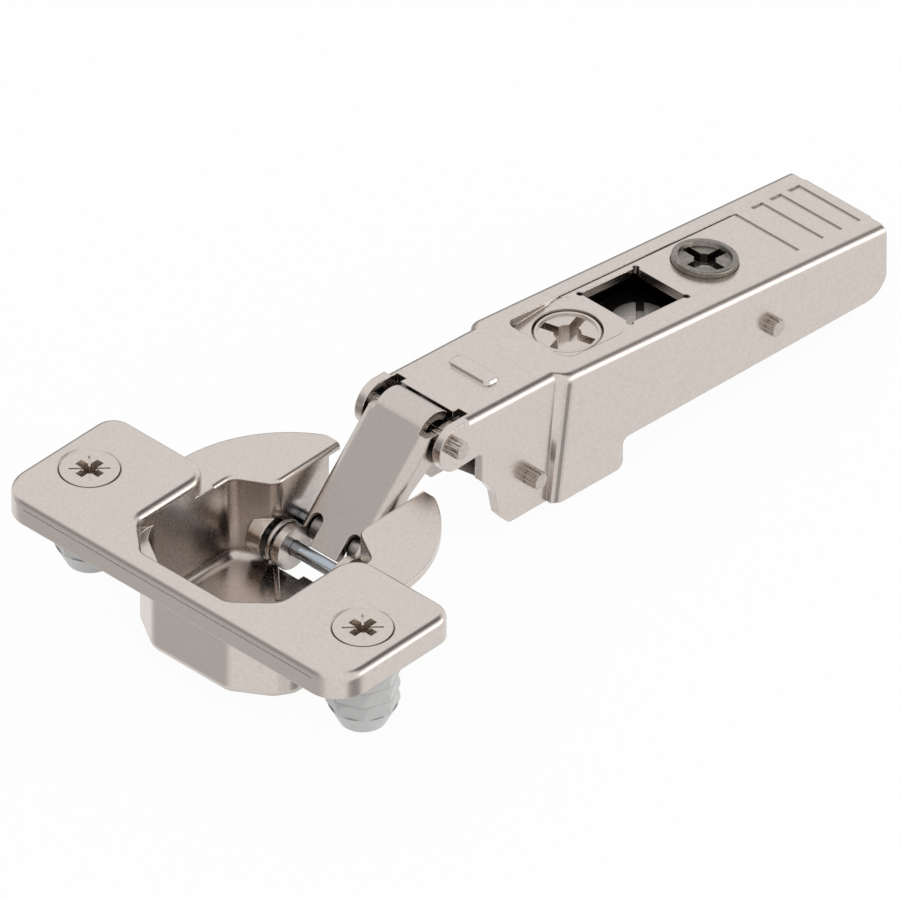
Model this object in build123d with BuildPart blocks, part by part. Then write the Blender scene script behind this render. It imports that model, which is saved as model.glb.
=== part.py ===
from build123d import *
import os
from math import atan2, cos, degrees, hypot, radians, sin, tan

# A concealed cup hinge, at rest with its arm open. The origin is on the axis of the cup, on the face
# of the door. +Z points out of the door, +X from the cup towards the arm, and Y runs along the pins.

os.makedirs("parts", exist_ok=True)

# Fits between pieces
running_gap = 0.05          # a pin in a hole that turns on it
press_gap = 0.01            # a pin held fast in its hole
side_gap = 0.2              # between link and link, and between rail and arm

# Cup: one pressed sheet, two ears on the door face, a basin that drops into the door
door_hole_radius = 17.5
hole_clearance = 0.1
ear_top = 3.58
ear_sheet = 1.23
ear_front = -19.63
ear_back = 0.5
ear_room = 0.15              # between the dowel's flats and the ear's wall
ear_front_corner = 4.5
ear_back_corner = 2.8
ear_inner_corner = 3.5
ear_edge_round = 1.1
ear_wall = 1.2
groove_height = 2.28        # thin line that runs along the front of the ears
groove_size = 0.14
lobe_sheet = 0.96
lobe_radius = 18.2
lobe_centre = 1.25
lobe_root = -2.3
lobe_end = 17.1
cut_past = 5.0               # how far a cut runs on past the sheet
lobe_tip_round = 1.6
lobe_edge_round = 0.6
opening_front = -16.6
opening_front_half = 7.0
opening_half = 11.6
opening_side_start = -12.5
opening_corner = 2.2
opening_side_corner = 2.6
basin_wall = 1.0
basin_floor = -10.8
basin_front = -15.0
basin_front_half = 5.8
basin_middle = -12.2
basin_middle_half = 10.3
basin_side_start = -10.2
basin_side_end = 3.5
channel_start = 6.3
channel_half = 6.7
channel_end = 15.2
floor_end = 5.4
floor_tongue_half = 2.4
floor_tongue_end = 6.3
basin_corner = 1.9
rim_lap = 0.8
floor_round = 1.5
cheek_radius = 3.0
cheek_start = 7.1
cheek_end = 9.3

# Fixings in the ears
fixing_x = -9.5
fixing_spacing = 45.0
countersink_radius = 3.94
screw_head_radius = 3.63
screw_head_drop = 0.06
screw_shank_radius = 1.9
screw_neck_radius = 2.8
screw_neck_height = 0.85
screw_end = -8.6
recess_half = 1.9
recess_width = 1.1
recess_depth = 1.5
recess_draft = 5.0
screw_recess_draft = 12.0
tick_angle = 45.0
tick_radius = 2.5
tick_width = 0.28
tick_depth = 0.25
dowel_radius = 4.45
dowel_ring_radius = 4.0
dowel_barb_radius = 4.7
dowel_cone_radius = 4.25
dowel_tip_radius = 2.9
dowel_top = 2.2
dowel_end = -10.0
dowel_rows = 4
dowel_row_top = 0.9
dowel_pitch = 2.05
dowel_sides = 8
dowel_turn = 1.1

# Pivots, as x and z in the side view
cup_pivot_outer = (6.5, -7.6)
cup_pivot_inner = (10.5, -6.5)
arm_pivot_outer = (22.1, 5.0)
arm_pivot_inner = (35.6, -6.9)
rear_pivot = (76.4, -6.1)
cup_pin_radius = 0.95
rivet_radius = 1.0
rivet_rib_radius = 0.2
rivet_rib_count = 10
front_stick_out = 1.9
rear_stick_out = 1.3

# Outer link: a pressed channel whose face rolls over the front rivet
link_sheet = 1.1
outer_link_half = 5.2
link_face_angle = 45.7
link_roll_radius = 2.61     # from the rivet's axis to the face
link_curl_radius = 3.2      # of the rolled end itself
link_relief_half = 3.7      # the rolled tongue is narrower than the link
link_relief_start = 0.8
link_relief_rise = 0.85
link_ear_radius = 2.9
link_side_round = 1.3
link_waist = 2.6            # depth of its sides where it passes the edge of the door
link_roll_end_angle = 44.0
link_under_angle = 0.0
tongue_half = 2.15
tongue_gap = 0.15
notch_end = 5.1             # along the face, measured from the cup pivot

# Inner link: a curved bar, forked at the cup, with an open eye at the arm
inner_link_half_thickness = 0.85
cup_eye_radius = 1.7
arm_eye_radius = 3.4
open_pivot_clearance = 1.35
inner_link_knee = (17.0, -0.1)
inner_link_crest = (21.0, 2.2)
inner_link_back = (23.6, 1.1)
inner_link_fall = (31.4, -5.9)
inner_link_bend = 2.5
fork_half = 2.3
fork_depth = 4.2

# Arm: a pressed channel, open below, narrow in front and wide behind
arm_sheet = 1.2
arm_front_half = 7.0
arm_rear_half = 8.18
arm_bend_radius = 1.2
arm_front_slope = 5.1
arm_rear_slope = 8.1
jog_start = 40.05
jog_top = 5.70
jog_length = 1.45
jog_drop = 0.35
crimp_round = 2.0
arm_end = 96.84
end_step = 0.2
end_tongue_half = 5.4
arm_nose = 16.0
arm_top_front = 25.1
relief_width = 1.5
relief_depth = 1.0
lug_radius = 3.1
lug_offset = 0.95
lug_drop = 0.95             # the lug's round end is not quite round the rivet
lobe_front = 27.3
lobe_heel = (30.15, -9.84)
lobe_middle = (29.45, -6.22)
lobe_brow = (28.3, -4.35)
lobe_foot = 31.9
front_lobe_bottom = -12.0
rear_lobe_bottom = -13.3
step_x = 50.5
step_round = 1.0
rear_bottom_front = -9.05
rear_bottom_end = -12.2
rear_corner_round = 3.4
bead_x = 33.2
bead_length = 2.6
bead_half = 3.4
bead_height = 0.45
bead_draft = 25.0
window_start = 56.0
window_end = 65.8
window_half = 4.15
window_corner = 0.45
groove_width = 0.5
groove_depth = 0.25
rear_groove_start = 88.6
rear_groove_pitch = 3.25
rear_groove_count = 3
rear_groove_half = 5.1
rear_groove_hook = 1.8
panel_end = 84.2
panel_start = 51.0
panel_half = 5.2

# Adjusting screws in the top of the arm
panel_top = 3.5             # level panel pressed in round the side screw
panel_front = 44.0
panel_corner = 1.5
side_screw_x = 49.5
side_screw_radius = 4.3
side_screw_sink = 0.2
side_screw_tilt_gap = 0.3
side_screw_turn = 15.0
side_screw_height = 2.6
side_screw_chamfer = 0.3
side_screw_rim = 0.6
side_screw_dish = 0.25
side_neck_radius = 1.7
side_foot_radius = 2.9
side_foot_height = 1.0
side_recess_half = 3.5
side_recess_width = 1.3
side_hub_radius = 1.7
side_recess_depth = 1.6
cam_x = 73.4
cam_radius = 4.1
cam_rise = 0.8
cam_rim = 0.75
cam_round = 0.25
cam_dish = 0.55
cam_dish_draft = 20.0
cam_recess_half = 3.15
cam_hub_radius = 1.35
cam_recess_width = 1.2
cam_recess_depth = 1.3
cam_flange_radius = 5.1
cam_flange_height = 0.9
cam_pin_radius = 1.2
cam_pin_throw = 2.6
cam_pin_end = 0.6
cam_slot_gap = 0.2

# Rail inside the arm, which clips on the mounting plate
rail_sheet = 1.2
rail_slope = 4.7
rail_start = 46.2
rail_end = 94.2
rail_top_front = -0.85
rail_bottom_gap = 0.5
rail_bend_radius = 1.0
rail_travel = 2.0
rail_hook_x = 51.6
rail_hook_radius = 2.1
stud_x = 62.2
stud_radius = 3.6
stud_height = 0.5
stud_foot_height = 1.1
stud_shank_radius = 2.2
stud_slot_width = 1.0
stud_slot_angle = 45.0
lever_pivot = (89.0, -8.3)
lever_pin_radius = 1.0
lever_gap = 0.38
lever_eye_radius = 2.0
lever_knee = (86.6, -9.4)
lever_nose = (85.6, -12.0)
lever_tab = (95.2, -10.3)
lever_plate = 1.5
spring_wire = 0.5
spring_radius = 1.3
spring_turns = 3
spring_x = 92.65
spring_height = 1.65

# Spring at the cup pin
closing_wire = 0.7
closing_loop_start = -92.0
closing_loop_sweep = -285.0
closing_leg_bend = (4.9, 0.28)      # x, and how far in from the loop
closing_leg_end = (0.8, 4.63)


def along(angle, length):
    # the end of a line of this length at this angle
    return (length * cos(radians(angle)), length * sin(radians(angle)))


def link_at(t, p):
    # a point on the outer link: t along its face from the cup pivot, p below the face
    foot_x = arm_pivot_outer[0] - link_roll_radius * sin(radians(link_face_angle))
    foot_z = arm_pivot_outer[1] + link_roll_radius * cos(radians(link_face_angle))
    step_x_to = t - face_length
    dx = step_x_to * cos(radians(link_face_angle)) + p * sin(radians(link_face_angle))
    dz = step_x_to * sin(radians(link_face_angle)) - p * cos(radians(link_face_angle))
    return (foot_x + dx, foot_z + dz)


# Distance along the face from the cup pivot to the front rivet
link_dx = arm_pivot_outer[0] - cup_pivot_outer[0]
link_dz = arm_pivot_outer[1] - cup_pivot_outer[1]
face_length = link_dx * cos(radians(link_face_angle)) + link_dz * sin(radians(link_face_angle))
cup_pivot_depth = link_roll_radius - (
    link_dx * sin(radians(link_face_angle)) - link_dz * cos(radians(link_face_angle))
)

# Where the rear pin of the cup stands in the same measures
pins_dx = cup_pivot_inner[0] - cup_pivot_outer[0]
pins_dz = cup_pivot_inner[1] - cup_pivot_outer[1]
rear_pin_t = pins_dx * cos(radians(link_face_angle)) + pins_dz * sin(radians(link_face_angle))
rear_pin_p = (
    cup_pivot_depth + pins_dx * sin(radians(link_face_angle)) - pins_dz * cos(radians(link_face_angle))
)
rear_pin_room = cup_pin_radius + side_gap


def front_top(x):
    # height of the front top plane of the arm
    return jog_top - (x - jog_start) * tan(radians(arm_front_slope))


rear_start = jog_start + jog_length
rear_top_start = jog_top - jog_drop


def rear_top(x):
    # height of the rear top plane of the arm
    return rear_top_start - (x - rear_start) * tan(radians(arm_rear_slope))


def rail_top(x):
    # height of the rail's top
    return rail_top_front - (x - rail_start) * tan(radians(rail_slope))


def rear_bottom(x):
    # height of the lower edge of the arm behind its step
    share = (x - step_x) / (arm_end - step_x)
    return rear_bottom_front + share * (rear_bottom_end - rear_bottom_front)


def sloped_plane(x, z, slope):
    # a plane whose local x runs down the slope and whose normal points out of it
    run = Vector(cos(radians(slope)), 0, -sin(radians(slope)))
    out = Vector(sin(radians(slope)), 0, cos(radians(slope)))
    return Plane(origin=(x, 0, z), x_dir=run, z_dir=out)


def section_plane(x, z, slope):
    # a plane across the arm, square to a slope, with local y pointing up
    run = Vector(cos(radians(slope)), 0, -sin(radians(slope)))
    return Plane(origin=(x, 0, z), x_dir=(0, 1, 0), z_dir=run)


def side_plane(y):
    # a plane parallel to the side view, with its normal towards +Y
    return Plane(origin=(0, y, 0), x_dir=(-1, 0, 0), z_dir=(0, 1, 0))


# Outline of the opening between the ears
with BuildSketch(Plane.XY) as opening_plan:
    with BuildLine():
        Polyline(
            (opening_front, -opening_front_half),
            (opening_side_start, -opening_half),
            (lobe_end + cut_past, -opening_half),
            (lobe_end + cut_past, opening_half),
            (opening_side_start, opening_half),
            (opening_front, opening_front_half),
            close=True,
        )
    make_face()
    fillet(opening_plan.vertices().group_by(Axis.X)[0], opening_corner)
    side_corners = opening_plan.vertices().filter_by_position(Axis.X, opening_front + 1, ear_front / 2)
    fillet(side_corners, opening_side_corner)

# Outline of the basin inside the door
with BuildSketch(Plane.XY) as basin_plan:
    with BuildLine():
        Polyline(
            (basin_front, -basin_front_half),
            (basin_middle, -basin_middle_half),
            (basin_side_start, -opening_half),
            (basin_side_end, -opening_half),
            (channel_start, -channel_half),
            (lobe_end + cut_past, -channel_half),
            (lobe_end + cut_past, channel_half),
            (channel_start, channel_half),
            (basin_side_end, opening_half),
            (basin_side_start, opening_half),
            (basin_middle, basin_middle_half),
            (basin_front, basin_front_half),
            close=True,
        )
    make_face()
    basin_corners = basin_plan.vertices().filter_by_position(Axis.X, basin_front - 1, channel_start + 1)
    fillet(basin_corners, basin_corner)

# Outline of the ears, which reach just past the dowels
ear_half = fixing_spacing / 2 + dowel_radius + ear_room + ear_wall
with BuildSketch(Plane.XY) as ear_plan:
    with BuildLine():
        Polyline(
            (ear_front, -ear_half),
            (ear_back, -ear_half),
            (ear_back, ear_half),
            (ear_front, ear_half),
            close=True,
        )
    make_face()
    fillet(ear_plan.vertices().group_by(Axis.X)[0], ear_front_corner)
    fillet(ear_plan.vertices().group_by(Axis.X)[-1], ear_back_corner)
    add(opening_plan.sketch, mode=Mode.SUBTRACT)
    fillet(
        ear_plan.vertices()
        .filter_by_position(Axis.X, ear_back - 0.1, ear_back + 0.1)
        .filter_by_position(Axis.Y, -opening_half - 0.1, opening_half + 0.1),
        ear_inner_corner,
    )

# Outline of the rear lobes, which lie flat on the door
with BuildSketch(Plane.XY) as lobe_plan:
    with Locations((lobe_centre, 0)):
        Circle(lobe_radius)
    with Locations(((lobe_end + lobe_root) / 2, 0)):
        Rectangle(lobe_end - lobe_root, 2 * ear_half, mode=Mode.INTERSECT)
    fillet(lobe_plan.vertices().group_by(Axis.X)[-1], lobe_tip_round)

# Ring of sheet that joins the ears to the basin in front
with BuildSketch(Plane.XY) as rim_plan:
    add(opening_plan.sketch)
    offset(amount=rim_lap, mode=Mode.REPLACE)
    with Locations((ear_front, 0)):
        Rectangle(2 * (ear_back - ear_front), 4 * opening_half, mode=Mode.INTERSECT)

# Outside of the basin, kept within the hole in the door
with BuildSketch(Plane.XY.offset(basin_floor - basin_wall)) as basin_outside:
    add(basin_plan.sketch.moved(Location((0, 0, basin_floor - basin_wall))))
    offset(amount=basin_wall, mode=Mode.REPLACE)
    Circle(door_hole_radius - hole_clearance, mode=Mode.INTERSECT)
    with Locations((channel_end - door_hole_radius, 0)):
        Rectangle(2 * door_hole_radius, 2 * door_hole_radius, mode=Mode.INTERSECT)

# Room inside the basin
with BuildPart() as basin_room:
    extrude(basin_plan.sketch.moved(Location((0, 0, basin_floor))), amount=ear_top - basin_floor)
    fillet(basin_room.faces().sort_by(Axis.Z)[0].edges(), floor_round)

with BuildSketch(Plane.XY) as ear_hollow:
    add(ear_plan.sketch)
    offset(amount=-ear_wall, mode=Mode.REPLACE)
    Rectangle(4 * lobe_radius, 2 * (opening_half + ear_wall), mode=Mode.SUBTRACT)

# Rear lobes: the sheet turns softly down from them into the basin
with BuildPart() as lobes:
    extrude(lobe_plan.sketch, amount=lobe_sheet)
    extrude(basin_plan.sketch, amount=lobe_sheet, mode=Mode.SUBTRACT)
    turned_edges = lobes.edges().filter_by(
        lambda edge: abs(edge.center().Z - lobe_sheet) < press_gap
        and abs(edge.center().Y) < opening_half + press_gap
        and edge.center().X < lobe_end - lobe_tip_round
    )
    fillet(turned_edges, lobe_edge_round)

with BuildPart() as cup:
    extrude(ear_plan.sketch, amount=ear_top)
    fillet(cup.faces().sort_by(Axis.Z)[-1].edges(), ear_edge_round)
    extrude(ear_hollow.sketch, amount=ear_top - ear_sheet, mode=Mode.SUBTRACT)
    extrude(rim_plan.sketch, amount=lobe_sheet)
    add(lobes.part)
    extrude(basin_outside.sketch, amount=lobe_sheet - lobe_edge_round - basin_floor + basin_wall)
    basin_foot = cup.faces().sort_by(Axis.Z)[0].edges()
    fillet(basin_foot.filter_by_position(Axis.X, basin_front - 2, floor_end), floor_round)
    add(basin_room.part, mode=Mode.SUBTRACT)
    for side in (1, -1):
        cheek_middle = side * (cheek_start + cheek_end) / 2
        with Locations(Location((cup_pivot_outer[0], cheek_middle, cup_pivot_outer[1]), (90, 0, 0))):
            Cylinder(cheek_radius, cheek_end - cheek_start)
    # the floor and the rear wall are cut away for the links
    with BuildSketch(Plane.XY.offset(basin_floor + floor_round)):
        with Locations((floor_end + door_hole_radius / 2, 0)):
            Rectangle(door_hole_radius, 2 * channel_half)
        with Locations(((floor_end + floor_tongue_end) / 2, 0)):
            Rectangle(floor_tongue_end - floor_end, 2 * floor_tongue_half, mode=Mode.SUBTRACT)
    extrude(amount=-2 * floor_round - 2 * basin_wall, mode=Mode.SUBTRACT)
    for side in (1, -1):
        with Locations((fixing_x, side * fixing_spacing / 2, ear_top - ear_sheet / 2)):
            Cone(countersink_radius - ear_sheet, countersink_radius, ear_sheet, mode=Mode.SUBTRACT)
    with Locations(Location((cup_pivot_outer[0], 0, cup_pivot_outer[1]), (90, 0, 0))):
        Cylinder(cup_pin_radius + press_gap, 2 * cheek_end + 1, mode=Mode.SUBTRACT)
    with Locations(Location((cup_pivot_inner[0], 0, cup_pivot_inner[1]), (90, 0, 0))):
        Cylinder(cup_pin_radius + press_gap, 2 * (channel_half + basin_wall) + 1, mode=Mode.SUBTRACT)
    # the thin line below the rounded front edge
    with Locations((ear_front, 0, groove_height)):
        Box(2 * groove_size, 2 * (ear_half - ear_front_corner), groove_size, mode=Mode.SUBTRACT)
cup.part.label = "cup"
export_step(cup.part, "parts/cup.step")

for name, side in (("left", 1), ("right", -1)):
    fixing_y = side * fixing_spacing / 2
    fixing_axis = Axis((fixing_x, fixing_y, 0), (0, 0, 1))
    fixing_plane = Plane(origin=(fixing_x, fixing_y, 0), x_dir=(1, 0, 0), z_dir=(0, -1, 0))

    # Nylon dowel: rows of barbs, round at the top of each row and eight-sided below, above a plain cone
    with BuildPart() as dowel:
        row_edges = []
        for row in range(dowel_rows):
            row_top = dowel_row_top - row * dowel_pitch
            with BuildSketch(Plane.XY.offset(row_top)):
                with Locations((fixing_x, fixing_y)):
                    RegularPolygon(dowel_radius, dowel_sides, rotation=dowel_turn)
            extrude(amount=-dowel_pitch)
            row_edges += [(dowel_ring_radius, row_top), (dowel_barb_radius, row_top - dowel_pitch)]
        row_end = dowel_row_top - dowel_rows * dowel_pitch
        with BuildSketch(fixing_plane):
            with BuildLine():
                Polyline((0, dowel_row_top), *row_edges, (0, row_end), close=True)
            make_face()
        revolve(axis=fixing_axis, mode=Mode.INTERSECT)
        with Locations((fixing_x, fixing_y, (row_end + dowel_end) / 2)):
            Cone(dowel_tip_radius, dowel_cone_radius, row_end - dowel_end)
        with Locations((fixing_x, fixing_y, (dowel_top + dowel_row_top) / 2)):
            Cylinder(dowel_ring_radius, dowel_top - dowel_row_top)
        with Locations((fixing_x, fixing_y, (dowel_top + dowel_end) / 2)):
            Cylinder(screw_shank_radius + running_gap, 2 * (dowel_top - dowel_end), mode=Mode.SUBTRACT)
        with Locations((fixing_x, fixing_y, dowel_top - screw_neck_height / 2)):
            Cone(
                screw_neck_radius - screw_neck_height,
                screw_neck_radius,
                screw_neck_height,
                mode=Mode.SUBTRACT,
            )
    dowel.part.label = "dowel_" + name
    export_step(dowel.part, "parts/dowel_" + name + ".step")

    # Countersunk screw, flush in the ear, with a cross recess
    with BuildPart() as fixing_screw:
        head_top = ear_top - screw_head_drop
        seat_top = ear_top - countersink_radius + screw_head_radius + 2 * press_gap
        with BuildSketch(fixing_plane):
            with BuildLine():
                Polyline(
                    (0, screw_end),
                    (screw_shank_radius / 2, screw_end),
                    (screw_shank_radius, screw_end + screw_shank_radius),
                    (screw_shank_radius, seat_top - screw_head_radius + screw_shank_radius),
                    (screw_head_radius, seat_top),
                    (screw_head_radius, head_top),
                    (0, head_top),
                    close=True,
                )
            make_face()
        revolve(axis=fixing_axis)
        with BuildSketch(Plane.XY.offset(head_top)):
            with Locations((fixing_x, fixing_y)):
                Rectangle(2 * recess_half, recess_width)
                Rectangle(recess_width, 2 * recess_half)
        extrude(amount=-recess_depth, taper=screw_recess_draft, mode=Mode.SUBTRACT)
        with BuildSketch(Plane.XY.offset(head_top)):
            with Locations((fixing_x, fixing_y)):
                Rectangle(2 * tick_radius, tick_width, rotation=tick_angle)
                Rectangle(2 * tick_radius, tick_width, rotation=-tick_angle)
        extrude(amount=-tick_depth, mode=Mode.SUBTRACT)
    fixing_screw.part.label = "fixing_screw_" + name
    export_step(fixing_screw.part, "parts/fixing_screw_" + name + ".step")

# The two steel pins across the cup
for name, pivot, half in (
    ("front", cup_pivot_outer, cheek_end),
    ("rear", cup_pivot_inner, channel_half + basin_wall),
):
    with BuildPart() as cup_pin:
        with Locations(Location((pivot[0], 0, pivot[1]), (90, 0, 0))):
            Cylinder(cup_pin_radius, 2 * half)
    cup_pin.part.label = "cup_pin_" + name
    export_step(cup_pin.part, "parts/cup_pin_" + name + ".step")

# Wire spring: a loop round the end of the front pin, and a leg on the floor of the cup
loop_y = (outer_link_half + channel_half) / 2
loop_radius = cheek_radius - closing_wire / 2
with BuildPart() as closing_spring:
    with BuildLine(side_plane(loop_y)) as loop_path:
        loop_centre = (-cup_pivot_outer[0], cup_pivot_outer[1])
        CenterArc(loop_centre, loop_radius, closing_loop_start, closing_loop_sweep)
    with BuildSketch(Plane(origin=loop_path.line @ 0, z_dir=loop_path.line % 0)):
        Circle(closing_wire / 2)
    sweep(path=loop_path.line)
    leg_z = basin_floor + closing_wire / 2 + running_gap
    leg_start = loop_path.line @ 0
    leg_bend = Vector(closing_leg_bend[0], loop_y - closing_leg_bend[1], leg_z)
    leg_end = Vector(closing_leg_end[0], loop_y - closing_leg_end[1], leg_z)
    for start, end in ((leg_start, leg_bend), (leg_bend, leg_end)):
        with Locations(start):
            Sphere(closing_wire / 2)
        with BuildSketch(Plane(origin=start, z_dir=end - start)):
            Circle(closing_wire / 2)
        extrude(amount=(end - start).length)
closing_spring.part.label = "closing_spring"
export_step(closing_spring.part, "parts/closing_spring.step")

# Outer link: its face and sides are one pressed channel that rolls over the front rivet
face_x, face_z = link_at(0, 0)
face_run = Vector(cos(radians(link_face_angle)), 0, sin(radians(link_face_angle)))
face_out = Vector(-sin(radians(link_face_angle)), 0, cos(radians(link_face_angle)))
face_plane = Plane(origin=(face_x, 0, face_z), x_dir=face_run, z_dir=face_out)
curl_start = link_at(face_length, 0)
curl_centre = link_at(face_length, link_curl_radius)
with BuildPart() as outer_link:
    with BuildSketch(Plane.XZ):
        with BuildLine():
            Line(link_at(0, 0), curl_start)
            curl_sweep = link_roll_end_angle - 90 - link_face_angle
            curl = CenterArc(curl_centre, link_curl_radius, 90 + link_face_angle, curl_sweep)
            under_sweep = link_face_angle - 90 - link_under_angle
            under = CenterArc(arm_pivot_outer, link_roll_radius, link_under_angle, under_sweep)
            Line(curl @ 1, under @ 0)
            Polyline(
                under @ 1,
                link_at(face_length - link_roll_radius, link_waist + 1),
                link_at(face_length / 2 + link_roll_radius, link_waist),
                link_at(rear_pin_t + 2 * cup_pin_radius, link_waist),
                link_at(rear_pin_t + cup_pin_radius, rear_pin_p - rear_pin_room),
                link_at(rear_pin_t - cup_pin_radius, rear_pin_p - rear_pin_room),
                link_at(0, link_ear_radius),
                link_at(0, 0),
            )
        make_face()
    extrude(amount=outer_link_half, both=True)
    outline_edges = outer_link.edges().filter_by(
        lambda edge: abs(abs(edge.center().Y) - outer_link_half) < press_gap
    )
    side_edges = outline_edges.filter_by(
        lambda edge: (edge.center() - face_plane.origin).dot(face_out) > -press_gap
        or abs(hypot((edge @ 0.5).X - curl_centre[0], (edge @ 0.5).Z - curl_centre[1]) - link_curl_radius)
        < press_gap
    )
    fillet(side_edges, link_side_round)
    for side in (1, -1):
        ear_middle = side * (outer_link_half - link_sheet / 2)
        with Locations(Location((cup_pivot_outer[0], ear_middle, cup_pivot_outer[1]), (90, 0, 0))):
            Cylinder(link_ear_radius, link_sheet)
    # room between the sides
    link_room_half = outer_link_half - link_sheet
    roll_end = along(link_roll_end_angle, 2 * link_curl_radius)
    with BuildSketch(Plane.XZ):
        with BuildLine():
            Polyline(
                link_at(-2 * link_ear_radius, link_sheet),
                link_at(face_length, link_sheet),
                curl_centre,
                (curl_centre[0] + roll_end[0], curl_centre[1] + roll_end[1]),
                link_at(face_length + 2 * link_curl_radius, 3 * link_curl_radius),
                link_at(-2 * link_ear_radius, 3 * link_curl_radius),
                close=True,
            )
        make_face()
        with Locations(curl_centre):
            Circle(link_curl_radius - link_sheet)
    extrude(amount=link_room_half, both=True, mode=Mode.SUBTRACT)
    # relief beside the rolled tongue
    relief_foot = link_at(face_length - link_relief_start, link_sheet / 3)
    for side in (1, -1):
        with BuildSketch(Plane.XZ.offset(side * link_relief_half)):
            with BuildLine():
                Polyline(
                    link_at(face_length - link_relief_start, -1),
                    relief_foot,
                    (arm_pivot_outer[0] + 2 * link_roll_radius, arm_pivot_outer[1] + link_relief_rise),
                    (arm_pivot_outer[0] + 2 * link_roll_radius, arm_pivot_outer[1] + 3 * link_roll_radius),
                    (relief_foot[0] - 1, arm_pivot_outer[1] + 3 * link_roll_radius),
                    close=True,
                )
            make_face()
        extrude(amount=side * 2 * link_sheet, mode=Mode.SUBTRACT)
    # the tongue over the pin, and a notch on each side of it
    with BuildSketch(face_plane.offset(link_sheet)):
        with Locations((-link_ear_radius, 0)):
            Rectangle(2 * (link_ear_radius + cup_pin_radius + tongue_gap), 2 * link_room_half)
        with Locations((0, (tongue_half + link_room_half) / 2), (0, -(tongue_half + link_room_half) / 2)):
            SlotOverall(2 * notch_end, link_room_half - tongue_half)
    extrude(amount=-2 * link_sheet - link_ear_radius, mode=Mode.SUBTRACT)
    with Locations(Location((cup_pivot_outer[0], 0, cup_pivot_outer[1]), (90, 0, 0))):
        Cylinder(cup_pin_radius + running_gap, 4 * outer_link_half, mode=Mode.SUBTRACT)
    with Locations(Location((arm_pivot_outer[0], 0, arm_pivot_outer[1]), (90, 0, 0))):
        Cylinder(rivet_radius + running_gap, 4 * outer_link_half, mode=Mode.SUBTRACT)
outer_link.part.label = "outer_link"
export_step(outer_link.part, "parts/outer_link.step")

# Inner link: a curved bar that arches over the edge of the door
inner_link_half = outer_link_half - link_sheet - side_gap
with BuildPart() as inner_link:
    with BuildSketch(Plane.XZ):
        with BuildLine():
            FilletPolyline(
                cup_pivot_inner,
                inner_link_knee,
                inner_link_crest,
                inner_link_back,
                inner_link_fall,
                arm_pivot_inner,
                radius=inner_link_bend,
            )
            offset(amount=inner_link_half_thickness)
        make_face()
        with Locations(cup_pivot_inner):
            Circle(cup_eye_radius)
        with Locations(arm_pivot_inner):
            Circle(arm_eye_radius)
    extrude(amount=inner_link_half, both=True)
    with Locations(Location((cup_pivot_inner[0], 0, cup_pivot_inner[1]), (90, 0, 0))):
        Cylinder(fork_depth, 2 * fork_half, mode=Mode.SUBTRACT)
        Cylinder(cup_pin_radius + running_gap, 4 * inner_link_half, mode=Mode.SUBTRACT)
    with Locations(Location((arm_pivot_inner[0], 0, arm_pivot_inner[1]), (90, 0, 0))):
        Cylinder(rivet_radius + open_pivot_clearance, 4 * inner_link_half, mode=Mode.SUBTRACT)
inner_link.part.label = "inner_link"
export_step(inner_link.part, "parts/inner_link.step")

# Rivets through the walls of the arm: a ribbed end on one side, flush on the other
for name, pivot, wall_face, stick_out in (
    ("front", arm_pivot_outer, arm_front_half, front_stick_out),
    ("lower", arm_pivot_inner, arm_front_half, front_stick_out),
    ("rear", rear_pivot, arm_rear_half, rear_stick_out),
):
    with BuildPart() as rivet:
        with Locations(Location((pivot[0], -stick_out / 2, pivot[1]), (90, 0, 0))):
            Cylinder(rivet_radius, 2 * wall_face + stick_out)
        with BuildSketch(side_plane(-wall_face)):
            with Locations((-pivot[0], pivot[1])):
                with PolarLocations(rivet_radius, rivet_rib_count):
                    Circle(rivet_rib_radius)
        extrude(amount=rivet_rib_radius - stick_out)
    rivet.part.label = name + "_rivet"
    export_step(rivet.part, "parts/" + name + "_rivet.step")


arm_depth = 2 * (jog_top - rear_lobe_bottom)  # deep enough for the side outline to cut


def channel_profile(plane, half, top, bend):
    # a cross section of the arm with its two top corners rounded
    with BuildSketch(plane) as profile:
        with Locations((0, -top - arm_depth / 2)):
            Rectangle(2 * half, arm_depth)
        if bend > 0:
            fillet(profile.vertices().group_by(Axis.Z)[-1], bend)
    return profile.sketch


crimp_turn = degrees(atan2(arm_rear_half - arm_front_half, jog_length))


def crimp_section(turn):
    # the widened walls come round softly to their line, seen from above
    x = rear_start + crimp_round * (tan(radians(crimp_turn / 2)) - sin(radians(turn)))
    jog_share = (x - jog_start) / jog_length
    top = rear_top(x) if jog_share > 1 else jog_top - jog_drop * jog_share
    return section_plane(x, top, arm_rear_slope), arm_rear_half - crimp_round * (1 - cos(radians(turn)))


arm_sections = (
    (section_plane(arm_nose, front_top(arm_nose), arm_front_slope), arm_front_half),
    (section_plane(jog_start, jog_top, arm_front_slope), arm_front_half),
    crimp_section(crimp_turn),
    crimp_section(crimp_turn * 2 / 3),
    crimp_section(crimp_turn / 3),
    crimp_section(0),
    (section_plane(arm_end + arm_sheet, rear_top(arm_end + arm_sheet), arm_rear_slope), arm_rear_half),
)
side_screw_plane = Plane.XY.offset(panel_top).move(Location((side_screw_x, 0, 0)))
cam_plane = sloped_plane(cam_x, rear_top(cam_x), arm_rear_slope)
rear_top_plane = sloped_plane(rear_start, rear_top_start, arm_rear_slope)
front_top_plane = sloped_plane(jog_start, jog_top, arm_front_slope)


def rear_along(x):
    # how far down the rear top plane a place is
    return (x - rear_start) / cos(radians(arm_rear_slope))


def front_along(x):
    # how far down the front top plane a place is
    return (x - jog_start) / cos(radians(arm_front_slope))


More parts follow.
